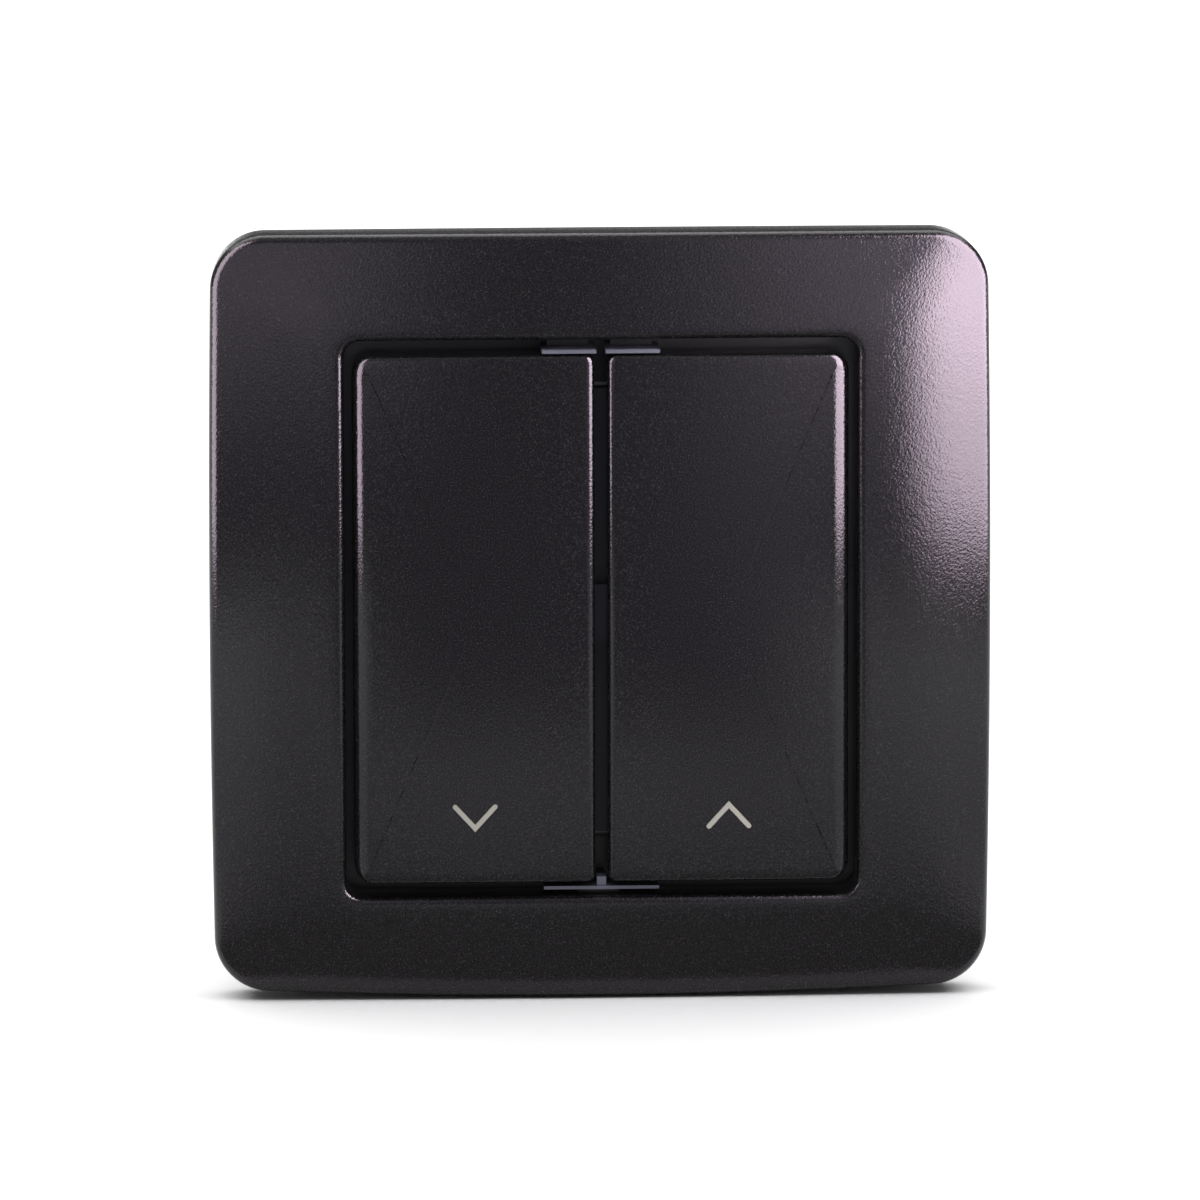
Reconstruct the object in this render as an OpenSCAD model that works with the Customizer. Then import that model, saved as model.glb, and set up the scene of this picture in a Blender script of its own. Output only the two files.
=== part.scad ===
// Two-gang momentary wall switch with tall rocker keys, for blinds or shutters.
// X runs to the right as seen from the room, Z runs up, and the front faces -Y.
// The origin is the middle of the support strap's back face, which lies on the wall.

/* [Cover frame] */
// Overall width of the cover frame
frame_w = 84; // [82:0.5:88]
// Overall height of the cover frame
frame_h = 83; // [82:0.5:88]
// How far the frame's face stands off the wall
frame_d = 9.6; // [9.4:0.1:10.6]
// Outward bow of each side at its middle
side_bow = 0.6; // [0:0.1:1]
// Corner radius of the frame
corner_r = 6; // [4:0.5:9]
// Radius of the front outer edge
edge_r = 1.2; // [0.8:0.1:1.6]
// How far the face falls away towards the outer edge
face_fall = 1.5; // [0:0.1:1.8]
// Width of the band over which the face falls away
fall_w = 9; // [6:0.5:10]
// Width of the frame's opening
open_w = 55; // [54.8:0.1:56]
// Height of the frame's opening
open_h = 60.4; // [60:0.1:61]

/* [Keys] */
// Width of each rocker key
key_w = 25.9; // [25:0.1:26]
// Height of each rocker key
key_h = 57.2; // [56:0.1:57.4]
// Gap between the two keys
key_gap = 1.4; // [1.2:0.1:2]
// How far the keys' face stands off the wall
key_face = 10.2; // [10:0.1:11]
// Wall thickness of a key
key_wall = 1.3; // [1:0.1:1.6]
// Width of a chevron
mark_w = 4.7; // [3:0.1:7]
// Height of a chevron
mark_h = 2.7; // [2:0.1:4]
// Line width of a chevron
mark_line = 0.55; // [0.4:0.05:0.8]
// Height of a chevron's middle above the key's lower edge
mark_up = 7.2; // [6:0.1:12]

/* [Fixing] */
// Spacing of the box screws
box_pitch = 60; // [60:1:60]
// Size of the square support strap
strap_size = 71; // [70:0.5:73]
// Thickness of the support strap
strap_t = 1.2; // [1:0.1:1.2]

/* [Mechanism] */
// Outer size of the square housing
house_size = 41.6; // [41.2:0.1:41.6]
// Depth of the housing behind the wall plane
house_d = 22; // [22:0.5:30]
// Distance of each gang's works from the middle
gang_x = 9.45; // [9.45:0.05:9.45]
// Radius of a rocker's trunnions
trunnion_r = 1.3; // [1.2:0.05:1.3]
// Radius of the spring plungers
plunger_r = 2; // [1.8:0.05:2]
// Radial running clearance
play = 0.05; // [0.03:0.01:0.08]

/* [Hidden] */

pivot_y = -2.6;          // rocker axis, along X at z = 0
key_x = key_gap / 2 + key_w / 2;
key_back = -5.6;         // rear edge of the keys
plate_f = -3.6;          // front of the mechanism cover's plate
plate_b = -2.2;          // rear of that plate, on the housing's flange
arm_f = -5.6;            // front of the cradle's pads
arm_b = -4.7;            // rear of the cradle's pads
ring_f = -3.2;           // front of the carrier ring's plate
bridge_y = 11;           // axis of the contact bridges
plunger_z = -0.4;
spring_z = -10;          // return springs' height
term_z = 13;             // middle plane of the terminal tabs
claw_x = 23;             // claw axis
claw_y = 3.4;
claw_screw_x = 26;
strap_hole = 42;         // square opening of the strap

// ---- outlines --------------------------------------------------------------
// Closed outline of a rectangle with round corners and bowed sides, pulled in by d.
function outline(w, h, r, bow, d, nc = 6, ns = 5) =
  let (a = w / 2 - bow - r, b = h / 2 - bow - r, q = max(r - d, 0.02), i = d - (r - q))
  [for (c = [0:3])
    let (sx = (c == 0 || c == 3) ? 1 : -1, sz = c < 2 ? 1 : -1,
         cx = sx * (a - i), cz = sz * (b - i), a0 = c * 90,
         // the side that follows this corner, from its end to the next corner's start
         e = [cx + q * cos(a0 + 90), cz + q * sin(a0 + 90)],
         nsx = (c == 3 || c == 2) ? 1 : -1, nsz = (c == 0 || c == 3) ? 1 : -1,
         f = [nsx * (a - i) + q * cos(a0 + 90), nsz * (b - i) + q * sin(a0 + 90)],
         out = [cos(a0 + 90), sin(a0 + 90)])
    each concat(
      [for (k = [0:nc]) let (t = a0 + 90 * k / nc) [cx + q * cos(t), cz + q * sin(t)]],
      [for (k = [1:ns]) let (s = k / (ns + 1), u = 2 * s - 1) e + (f - e) * s + out * bow * (1 - u * u)])];

// Faces joining successive rings of n points; closed also joins the last ring to the first.
function ring_faces(m, n, closed = false) =
  [for (j = [0:(closed ? m - 1 : m - 2)], i = [0:n - 1])
    let (j2 = (j + 1) % m, i2 = (i + 1) % n) [j * n + i, j2 * n + i, j2 * n + i2, j * n + i2]];

function lift(path, y) = [for (p = path) [p[0], y, p[1]]];

// ---- cover frame -----------------------------------------------------------
function frame_out(d) = outline(frame_w, frame_h, corner_r, side_bow, d);
function frame_in(o) = outline(open_w + 2 * o, open_h + 2 * o, 1.8 + o, 0, 0);

// Height of the face above the wall at a distance s in from the outer edge.
function face_h(s) = frame_d - face_fall * pow(max(0, 1 - s / fall_w), 2);

module cover_frame() {
  shell = 2.1;
  tilt = atan(2 * face_fall / fall_w * 0.905);
  s_t = edge_r * (1 - sin(tilt));
  h_c = face_h(s_t) - edge_r * cos(tilt);
  rings = concat(
    [lift(frame_out(0.35), -0.3), lift(frame_out(0), -0.9)],
    [for (k = [0:4]) let (a = (90 - tilt) * k / 4) lift(frame_out(edge_r * (1 - cos(a))), -(h_c + edge_r * sin(a)))],
    [for (s = [2.2, 3.8, 5.6, 7.5, 9]) lift(frame_out(s), -face_h(s))],
    [for (a = [90:-30:0]) lift(frame_in(0.9 * (1 - cos(a))), -frame_d + 0.9 * (1 - sin(a)))],
    [lift(frame_in(0), -3.5), lift(frame_in(1.4), -3.5), lift(frame_in(1.4), -frame_d + shell),
     lift(frame_out(5.4), -face_h(5.4) + shell), lift(frame_out(shell + 0.6), -face_h(2.4) + shell + 0.2),
     lift(frame_out(shell), -face_h(2.4) + shell + 0.8), lift(frame_out(shell), -0.3)]);
  n = len(rings[0]);
  color([0.16, 0.15, 0.17])
    polyhedron([for (r = rings) each r], ring_faces(len(rings), n, true), convexity = 8);
}

// ---- carrier ring: clips on the strap and holds the cover frame ------------
module carrier_ring() {
  color([0.42, 0.43, 0.5]) difference() {
    union() {
      // plate
      translate([-33.4, ring_f, -34.4]) cube([66.8, -1.2 - ring_f, 68.8]);
      // lip inside the cover frame
      for (s = [-1, 1]) {
        translate([s > 0 ? 29.3 : -30.5, -6.8, -33.2]) cube([1.2, 3.7, 66.4]);
        translate([-30.5, -6.8, s > 0 ? 32 : -33.2]) cube([61, 3.7, 1.2]);
      }
      // thin tabs that show in the gap above and below the keys
      for (s = [-1, 1]) translate([s > 0 ? 0.5 : -6.3, -9.8, 28.8]) cube([5.8, 6.7, 0.35]);
      for (s = [-1, 1]) translate([s > 0 ? 1.2 : -5.6, -5.4, 28.95]) cube([4.4, 2.3, 0.95]);
      translate([-6.2, -8.4, -29.65]) cube([12.4, 5.3, 0.35]);
      translate([-5.6, -5.4, -29.95]) cube([11.2, 2.3, 0.5]);
      // rib between the keys' lower corners
      translate([-0.5, -8.2, -29.6]) cube([1, 5.1, 1.3]);
      // caps over the claw screws' heads
      for (s = [-1, 1]) translate([s > 0 ? 22.8 : -29.2, -3.45, -4.4]) cube([6.4, 1.2, 8.8]);
    }
    translate([-23, -9, -24.8]) cube([46, 12, 49.6]);
    for (s = [-1, 1]) {
      // pockets round the claw screws' heads
      translate([s * claw_screw_x, 0, 0]) rotate([90, 0, 0]) cylinder(r = 2.7, h = 2.85, $fn = 48);
      // room for the box screws' heads, bridged by the lip and the caps in front
      translate([s > 0 ? box_pitch / 2 - 3.6 : -box_pitch / 2, -2.85, -3.6]) cube([3.6, 6, 7.2]);
      translate([s > 0 ? box_pitch / 2 - 0.7 : -box_pitch / 2 - 6.4, -4.8, -3.6]) cube([7.1, 8, 7.2]);
      translate([-3.6, -4.8, s > 0 ? 30.2 : -36]) cube([7.2, 8, 5.8]);
    }
  }
}

// ---- rocker keys -----------------------------------------------------------
// side = -1 left, 1 right. Outer corners are rounder than the corners at the middle gap.
function key_outline(side, d) =
  let (r_o = 1.4, r_i = 0.5, hw = key_w / 2 - d, hh = key_h / 2 - d, n = 4, m = 3)
  [for (c = [0:3])
    let (sx = (c == 0 || c == 3) ? 1 : -1, sz = c < 2 ? 1 : -1,
         q = max((sx == side ? r_o : r_i) - d, 0.15), cx = sx * (hw - q), cz = sz * (hh - q), a0 = c * 90,
         nsx = (c == 3 || c == 2) ? 1 : -1, nsz = (c == 0 || c == 3) ? 1 : -1,
         q2 = max((nsx == side ? r_o : r_i) - d, 0.15),
         e = [cx + q * cos(a0 + 90), cz + q * sin(a0 + 90)],
         f = [nsx * (hw - q2) + q2 * cos(a0 + 90), nsz * (hh - q2) + q2 * sin(a0 + 90)])
    each concat(
      [for (k = [0:n]) let (t = a0 + 90 * k / n) [cx + q * cos(t), cz + q * sin(t)]],
      [for (k = [1:m]) e + (f - e) * k / (m + 1)])];

module key_shell(side) {
  er = 0.8;
  crown = 0.2;
  rings = concat(
    [lift([for (p = key_outline(side, er)) p * 0.4], -key_face)],
    [for (a = [90:-22.5:0]) lift(key_outline(side, er * (1 - cos(a))), -key_face + crown + er * (1 - sin(a)))],
    [lift(key_outline(side, 0), key_back), lift(key_outline(side, key_wall), key_back),
     lift(key_outline(side, key_wall), -key_face + 1.6)]);
  n = len(rings[0]);
  m = len(rings);
  polyhedron(concat([for (r = rings) each r], [[0, -key_face, 0], [0, -key_face + 1.6, 0]]),
    concat([for (f = ring_faces(m, n)) each [[f[3], f[2], f[1]], [f[3], f[1], f[0]]]],
      [for (i = [0:n - 1]) [m * n, i, (i + 1) % n]],
      [for (i = [0:n - 1]) [m * n + 1, (m - 1) * n + (i + 1) % n, (m - 1) * n + i]]), convexity = 6);
}

// A chevron groove; up = 1 points up, -1 points down.
module chevron(up) {
  w = mark_w / 2;
  h = mark_h / 2;
  t = mark_line / cos(atan(mark_h / w)) ;
  rotate([90, 0, 0]) linear_extrude(2, center = true)
    polygon([[-w, -up * h], [0, up * h], [w, -up * h], [w, -up * (h + t * 0.5)], [w - 0.02, -up * (h + t)], [0, up * (h - t)], [-w + 0.02, -up * (h + t)]]);
}

module key(side, up) {
  color([0.17, 0.16, 0.18]) translate([side * key_x, 0, 0]) {
    difference() {
      key_shell(side);
      translate([0, -key_face + 0.4 - 1, -key_h / 2 + mark_up]) chevron(up);
    }
    // legs that drop into the cradle's slots
    for (sx = [-1, 1], sz = [-1, 1]) translate([sx * 6 - 2, -key_face + 1.5, sz * 8.6 - 0.6]) cube([4, key_face - 6.3, 1.2]);
  }
}
module left_key() { key(-1, -1); }
module right_key() { key(1, 1); }

// ---- rocker cradles --------------------------------------------------------
module along_y(y0, y1, r) { translate([0, y0, 0]) rotate([-90, 0, 0]) cylinder(r = r, h = y1 - y0, $fn = 64); }
module along_x(x0, x1, r) { translate([x0, 0, 0]) rotate([0, 90, 0]) cylinder(r = r, h = x1 - x0, $fn = 64); }

module cradle() {
  difference() {
    union() {
      // pads under the key
      for (s = [-1, 1]) translate([3.2, arm_f, s > 0 ? 4 : -12]) cube([20.9, arm_b - arm_f, 8]);
      translate([3.2, arm_f, -4.5]) cube([13.4, arm_b - arm_f, 9]);
      // hub
      translate([1.9, arm_b - 0.1, -2.9]) cube([15.1, 3.9, 5.8]);
      translate([gang_x, 0, plunger_z]) along_y(-1.2, 4.2, 3.1);
      // side webs
      for (x = [4.2, 14]) translate([x, arm_b - 0.1, -6.6]) cube([0.9, 1.1, 13.2]);
      // trunnions
      translate([0, pivot_y, 0]) along_x(0.5, 18.6, trunnion_r);
    }
    // plunger bore, blind
    translate([gang_x, 0, plunger_z]) along_y(-4.4, 6, plunger_r + play);
    // slots for the key's legs
    for (sx = [-1, 1], sz = [-1, 1]) translate([key_x + sx * 6 - 2.2, arm_f - 1, sz * 8.6 - 0.8]) cube([4.4, 3, 1.6]);
  }
}
module left_cradle() { color([0.85, 0.85, 0.82]) mirror([1, 0, 0]) cradle(); }
module right_cradle() { color([0.85, 0.85, 0.82]) cradle(); }

// ---- plungers --------------------------------------------------------------
module plunger(side) {
  color([0.92, 0.9, 0.84]) translate([side * gang_x, 0, plunger_z]) {
    difference() {
      along_y(-1.4, 6.2, plunger_r);
      along_y(-2, -0.6, 1.4);
    }
    along_y(6.1, 9.3, 1.2);
    translate([0, 9.3, 0]) sphere(r = 1.2, $fn = 48);
  }
}
module left_plunger() { plunger(-1); }
module right_plunger() { plunger(1); }

// ---- coil springs ----------------------------------------------------------
// A coil along Y from y0 to y1, mean radius r, wire radius w, with flat-wound ends.
module coil(y0, y1, r, w, turns, per = 14, sides = 7) {
  n = turns * per;
  a = y0 + w;
  b = y1 - w;
  function height(t) = let (e = 0.75 / turns) t < e ? t * 0.35 / (1 - 1.3 * e) : t > 1 - e ? 1 - (1 - t) * 0.35 / (1 - 1.3 * e) : 0.35 * e / (1 - 1.3 * e) + (t - e) * (1 - 0.7 * e / (1 - 1.3 * e)) / (1 - 2 * e);
  pts = [for (i = [0:n]) let (t = i / n, q = 360 * turns * t, y = a + (b - a) * height(t))
    each [for (k = [0:sides - 1]) let (c = 360 * k / sides) [(r + w * cos(c)) * cos(q), y + w * sin(c), (r + w * cos(c)) * sin(q)]]];
  faces = concat([[for (k = [0:sides - 1]) k]], [[for (k = [sides - 1:-1:0]) n * sides + k]],
    [for (i = [0:n - 1], k = [0:sides - 1]) let (k2 = (k + 1) % sides)
      [i * sides + k, (i + 1) * sides + k, (i + 1) * sides + k2, i * sides + k2]]);
  polyhedron(pts, faces, convexity = 10);
}
module left_plunger_spring() { color([0.75, 0.75, 0.77]) translate([-gang_x, 0, plunger_z]) coil(-4.38, -0.62, 1.1, 0.2, 4); }
module right_plunger_spring() { color([0.75, 0.75, 0.77]) translate([gang_x, 0, plunger_z]) coil(-4.38, -0.62, 1.1, 0.2, 4); }
module left_return_spring() { color([0.75, 0.75, 0.77]) translate([-gang_x, 0, spring_z]) coil(-4.68, 1.38, 1.7, 0.25, 5); }
module right_return_spring() { color([0.75, 0.75, 0.77]) translate([gang_x, 0, spring_z]) coil(-4.68, 1.38, 1.7, 0.25, 5); }

// ---- mechanism cover -------------------------------------------------------
module mechanism_cover() {
  color([0.42, 0.43, 0.5]) difference() {
    union() {
      difference() {
        translate([-22.4, plate_f, -24.2]) cube([44.8, plate_b - plate_f, 48.4]);
        for (s = [-1, 1]) translate([s > 0 ? 1.5 : -17.4, -9, -6.9]) cube([15.9, 12, 13.8]);
      }
      // bearing posts
      translate([-1.5, -4.9, -3]) cube([3, 4.3, 6]);
      translate([-1.5, plate_f, -7]) cube([3, 2.6, 14]);
      for (s = [-1, 1]) {
        translate([s > 0 ? 17.4 : -19, -4.9, -3]) cube([1.6, 4.3, 6]);
        // spring cups
        translate([s * gang_x, 0, spring_z]) along_y(plate_f + 0.2, 2.4, 2.8);
        // rest stops under the pads' upper ends
        for (x = [-3, 9]) translate([s * gang_x + s * x - 1, -4.65, 9]) cube([2, 1.2, 2]);
        // snap rims that centre the cover in the housing
        for (z = [-1, 1]) translate([s > 0 ? 9 : -15, plate_b - 0.2, z > 0 ? 17.9 : -19.1]) cube([6, 2.4, 1.2]);
      }
    }
    // trunnion bores
    translate([0, pivot_y, 0]) {
      along_x(0.3, 1.6, trunnion_r + play);
      along_x(-1.6, -0.3, trunnion_r + play);
      along_x(17, 19.5, trunnion_r + play);
      along_x(-19.5, -17, trunnion_r + play);
    }
    // spring pockets
    for (s = [-1, 1]) translate([s * gang_x, 0, spring_z]) along_y(-5, 1.4, 2.15);
    // rivet holes
    for (sx = [-1, 1], sz = [-1, 1]) translate([sx * 14, 0, sz * 22.6]) along_y(-5, 0, 1.25);
  }
}

module cover_rivets() {
  color([0.7, 0.7, 0.72]) for (sx = [-1, 1], sz = [-1, 1]) translate([sx * 14, 0, sz * 22.6]) {
    along_y(plate_f - 0.1, 0, 1.2);
    along_y(plate_f - 0.7, plate_f, 2);
  }
}

// ---- support strap ---------------------------------------------------------
module slot_y(x, z, along, len, r) {
  // a slot of overall length len and half width r, through the strap
  d = len / 2 - r;
  for (k = [-1, 1]) translate([x + (along == "x" ? k * d : 0), 0, z + (along == "z" ? k * d : 0)]) along_y(-3, 1, r);
  translate([x - (along == "x" ? d : r), -3, z - (along == "z" ? d : r)]) cube([along == "x" ? 2 * d : 2 * r, 4, along == "z" ? 2 * d : 2 * r]);
}
module support_strap() {
  hs = strap_size / 2;
  color([0.72, 0.73, 0.74]) difference() {
    union() {
      translate([-hs, -strap_t, -hs]) cube([strap_size, strap_t, strap_size]);
      // ears for the claws' pins
      for (s = [-1, 1], z = [6.6, -7.8]) translate([s > 0 ? 21.6 : -24.7, -0.3, z]) cube([3.1, 5.3, 1.2]);
    }
    translate([-strap_hole / 2, -3, -strap_hole / 2]) cube([strap_hole, 6, strap_hole]);
    // chamfered corners
    for (a = [0:90:270]) rotate([0, a, 0]) translate([hs, -3, hs]) rotate([0, 45, 0]) translate([-4, 0, -4]) cube([8, 6, 8]);
    // box screw slots
    for (s = [-1, 1]) {
      slot_y(s * box_pitch / 2, 0, "x", 8, 2);
      slot_y(0, s * box_pitch / 2, "z", 8, 2);
      // claw screw clearance
      translate([s > 0 ? claw_screw_x - 2 : -claw_screw_x, -3, -2]) cube([2, 4, 4]);
      translate([s * claw_screw_x, 0, 0]) along_y(-3, 1, 2);
      translate([s * claw_x, claw_y, -9]) cylinder(r = 1 + play, h = 18, $fn = 48);
      // corner keyholes
      for (z = [-1, 1]) translate([s * 28, 0, z * 28]) along_y(-3, 1, 1.6);
    }
    for (sx = [-1, 1], sz = [-1, 1]) translate([sx * 14, 0, sz * 22.6]) along_y(-3, 1, 1.25);
  }
}

// ---- housing ---------------------------------------------------------------
module housing() {
  h = house_size / 2;
  t = 1.5;
  yf = house_d - t;
  color([0.15, 0.15, 0.16]) difference() {
    union() {
      difference() {
        union() {
          translate([-h, plate_b, -h]) cube([2 * h, house_d - plate_b, 2 * h]);
          translate([-22.4, plate_b, -24.2]) cube([44.8, -strap_t - plate_b, 48.4]);
        }
        translate([-h + t, -5, -h + t]) cube([2 * h - 2 * t, yf + 5, 2 * h - 2 * t]);
      }
      // wall between the gangs
      translate([-0.6, 0.2, -h + 0.5]) cube([1.2, yf, 2 * h - 1]);
      for (s = [-1, 1]) {
        // ribs that carry the contact strips
        translate([s * gang_x - 0.6, 14.2, 2.4]) cube([1.2, yf - 14, 8.6]);
        translate([s * gang_x - 0.6, 13.6, -11]) cube([1.2, yf - 13.4, 12.4]);
        // cheeks beside the terminal clamps
        for (x = [-4.6, 3.8], z = [-1, 1]) translate([s * gang_x + x, 14.4, z > 0 ? 11.3 : -h + 0.5]) cube([0.8, yf - 14.2, h - 11.8]);
      }
    }
    // notch for the common contact's cross strip
    translate([-2, 12.6, -12.2]) cube([4, 1.3, 5.4]);
    for (s = [-1, 1], z = [-1, 1]) {
      // wire entries
      translate([s * gang_x - 1.8, yf - 1, z > 0 ? 13.6 : -16.8]) cube([3.6, 4, 3.2]);
      // slots over the terminal screws
      translate([s * gang_x - 2.9, 13.8, z > 0 ? h - 2 : -h - 1]) cube([5.8, 6.2, 3]);
    }
    for (sx = [-1, 1], sz = [-1, 1]) translate([sx * 14, 0, sz * 22.6]) along_y(-5, 0, 1.25);
  }
}

// ---- contacts --------------------------------------------------------------
module bridge(side) {
  color([0.82, 0.62, 0.3]) translate([side * gang_x, bridge_y, 0]) rotate([6, 0, 0]) {
    translate([-2.4, -0.4, -7.5]) cube([4.8, 0.8, 16]);
    for (s = [-1, 1]) along_x(s > 0 ? 2 : -3.4, s > 0 ? 3.4 : -2, 0.6);
  }
}
module left_contact_bridge() { bridge(-1); }
module right_contact_bridge() { bridge(1); }

module moving_rivet(side) {
  color([0.85, 0.85, 0.86]) translate([side * gang_x, bridge_y, 0]) rotate([6, 0, 0]) translate([0, 0.4, 7]) {
    along_y(0, 0.5, 1.5);
    translate([0, 0.5, 0]) rotate([-90, 0, 0]) cylinder(r1 = 1.5, r2 = 1.1, h = 0.2, $fn = 64);
  }
}
module left_moving_rivet() { moving_rivet(-1); }
module right_moving_rivet() { moving_rivet(1); }

module common_contact() {
  color([0.82, 0.65, 0.35]) difference() {
    union() {
      for (s = [-1, 1]) translate([s * gang_x, 0, 0]) {
        translate([-3.5, 12.8, -13.4]) cube([7, 0.8, 14.9]);
        for (x = [-3.5, 2.9]) translate([x, 9.9, -1.5]) cube([0.6, 3.3, 3]);
        translate([-2.5, 12.8, -13.4]) cube([5, 7, 0.8]);
      }
      translate([-gang_x, 12.8, -11.8]) cube([2 * gang_x, 0.8, 4.6]);
    }
    translate([0, bridge_y, 0]) along_x(-20, 20, 0.65);
  }
}

module fixed_contact(side) {
  color([0.82, 0.65, 0.35]) translate([side * gang_x, 0, 0]) {
    translate([-2.5, 13.4, 4.9]) cube([5, 0.8, 8.5]);
    translate([-2.5, 13.4, 12.6]) cube([5, 6.4, 0.8]);
  }
}
module left_fixed_contact() { fixed_contact(-1); }
module right_fixed_contact() { fixed_contact(1); }

module fixed_rivets() {
  color([0.85, 0.85, 0.86]) for (s = [-1, 1]) translate([s * gang_x, 0, 6.9]) {
    along_y(13.2, 13.4, 1.7);
    translate([0, 13, 0]) rotate([-90, 0, 0]) cylinder(r1 = 1.3, r2 = 1.7, h = 0.21, $fn = 64);
  }
}

// ---- terminals -------------------------------------------------------------
module at_terminals() { for (s = [-1, 1], u = [0, 180]) translate([s * gang_x, 0, 0]) rotate([0, u, 0]) children(); }
module terminal_clamps() {
  color([0.66, 0.67, 0.68]) at_terminals() difference() {
    translate([-3.6, 14.6, 11.5]) cube([7.2, 5, 6.8]);
    translate([-2.6, 14, 12.5]) cube([5.2, 7, 4.6]);
    translate([0, 17.1, 16]) cylinder(r = 1.5, h = 4, $fn = 48);
  }
}
module terminal_screws() {
  color([0.7, 0.7, 0.72]) at_terminals() translate([0, 17.1, 0]) difference() {
    union() {
      translate([0, 0, 16.9]) cylinder(r = 1.45, h = 1.7, $fn = 48);
      translate([0, 0, 18.4]) cylinder(r = 2.5, h = 1.7, $fn = 48);
    }
    translate([-3, -0.4, 19.2]) cube([6, 0.8, 2]);
  }
}

// ---- spreading claws -------------------------------------------------------
module claw() {
  difference() {
    union() {
      translate([claw_x, claw_y, -7.6]) cylinder(r = 1, h = 15.2, $fn = 48);
      translate([claw_x, claw_y, -6.2]) cylinder(r = 1.3, h = 12.4, $fn = 48);
      translate([claw_x - 0.8, claw_y, -6.2]) cube([1.6, 12.4, 12.4]);
      // teeth
      for (z = [-6.2, -1.4, 3.4]) translate([claw_x + 0.7, claw_y + 10.7, z]) cube([1.5, 1.7, 2.8]);
    }
    translate([claw_x - 3, claw_y + 1.6, -2]) cube([6, 8.4, 4]);
  }
}
module left_claw() { color([0.7, 0.71, 0.72]) mirror([1, 0, 0]) claw(); }
module right_claw() { color([0.7, 0.71, 0.72]) claw(); }

module claw_screw(side) {
  color([0.78, 0.76, 0.66]) translate([side * claw_screw_x, 0, 0]) difference() {
    union() {
      along_y(-2.75, -1.25, 2.3);
      along_y(-1.4, 11.5, 1.5);
    }
    translate([-4, -4, -0.45]) cube([8, 2.1, 0.9]);
    translate([-0.45, -4, -1.6]) cube([0.9, 2.3, 3.2]);
  }
}
module left_claw_screw() { claw_screw(-1); }
module right_claw_screw() { claw_screw(1); }

cover_frame();
carrier_ring();
left_key();
right_key();
left_cradle();
right_cradle();
left_plunger();
right_plunger();
left_plunger_spring();
right_plunger_spring();
left_return_spring();
right_return_spring();
mechanism_cover();
cover_rivets();
support_strap();
housing();
left_contact_bridge();
right_contact_bridge();
left_moving_rivet();
right_moving_rivet();
common_contact();
left_fixed_contact();
right_fixed_contact();
fixed_rivets();
terminal_clamps();
terminal_screws();
left_claw();
right_claw();
left_claw_screw();
right_claw_screw();
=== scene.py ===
import math
import bpy
import bmesh
from mathutils import Matrix, Vector


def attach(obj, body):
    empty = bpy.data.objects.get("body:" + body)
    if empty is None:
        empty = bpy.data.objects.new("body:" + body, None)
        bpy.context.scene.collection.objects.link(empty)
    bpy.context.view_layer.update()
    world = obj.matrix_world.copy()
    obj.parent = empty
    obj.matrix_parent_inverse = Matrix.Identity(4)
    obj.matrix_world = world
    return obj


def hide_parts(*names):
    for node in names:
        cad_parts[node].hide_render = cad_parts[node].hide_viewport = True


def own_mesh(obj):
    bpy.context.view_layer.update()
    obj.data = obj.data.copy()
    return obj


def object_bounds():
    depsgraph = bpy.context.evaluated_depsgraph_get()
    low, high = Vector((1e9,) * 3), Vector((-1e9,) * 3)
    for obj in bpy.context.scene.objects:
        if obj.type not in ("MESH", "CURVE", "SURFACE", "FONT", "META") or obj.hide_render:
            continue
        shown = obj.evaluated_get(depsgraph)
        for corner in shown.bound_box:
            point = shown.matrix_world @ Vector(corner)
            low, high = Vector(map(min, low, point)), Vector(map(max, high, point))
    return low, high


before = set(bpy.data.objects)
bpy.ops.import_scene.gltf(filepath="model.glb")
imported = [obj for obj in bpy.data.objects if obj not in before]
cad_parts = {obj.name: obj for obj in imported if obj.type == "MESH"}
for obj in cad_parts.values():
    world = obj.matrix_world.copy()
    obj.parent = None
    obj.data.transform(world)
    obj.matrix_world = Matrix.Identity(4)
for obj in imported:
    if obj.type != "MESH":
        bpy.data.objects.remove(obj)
cad_lo, cad_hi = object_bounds()
scene = bpy.context.scene
MM = 0.001

# ---------------------------------------------------------------- camera
# The camera looks at the front from a little above, with a long lens.
ELEV, AZIM, ROLL = math.radians(9.3), math.radians(-2.5), math.radians(-0.12)
DIST, LENS = 1.2, 334.5
aim = Vector((0.0, -0.005, 0.0))
toward = Vector((math.sin(AZIM) * math.cos(ELEV), -math.cos(AZIM) * math.cos(ELEV), math.sin(ELEV)))
cam_data = bpy.data.cameras.new("camera")
cam_data.lens = LENS
cam_data.sensor_width = 36.0
cam_data.clip_start, cam_data.clip_end = 0.01, 50.0
cam = bpy.data.objects.new("camera", cam_data)
scene.collection.objects.link(cam)
cam.location = aim + toward * DIST
rot = (-toward).to_track_quat("-Z", "Y").to_matrix().to_4x4()
cam.matrix_world = Matrix.Translation(cam.location) @ rot @ Matrix.Rotation(ROLL, 4, "Z")
cam_data.shift_x, cam_data.shift_y = 0.0003, 0.0103
scene.camera = cam


# ---------------------------------------------------------------- mesh helpers
def link(name, bm, mats, body, sharp=35.0, replaces=()):
    bmesh.ops.recalc_face_normals(bm, faces=bm.faces)
    me = bpy.data.meshes.new(name)
    bm.to_mesh(me)
    bm.free()
    for m in mats:
        me.materials.append(m)
    for p in me.polygons:
        p.use_smooth = True
    me.set_sharp_from_angle(angle=math.radians(sharp))
    ob = bpy.data.objects.new(name, me)
    scene.collection.objects.link(ob)
    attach(ob, body)
    if replaces:
        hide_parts(*replaces)
    return ob


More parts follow.
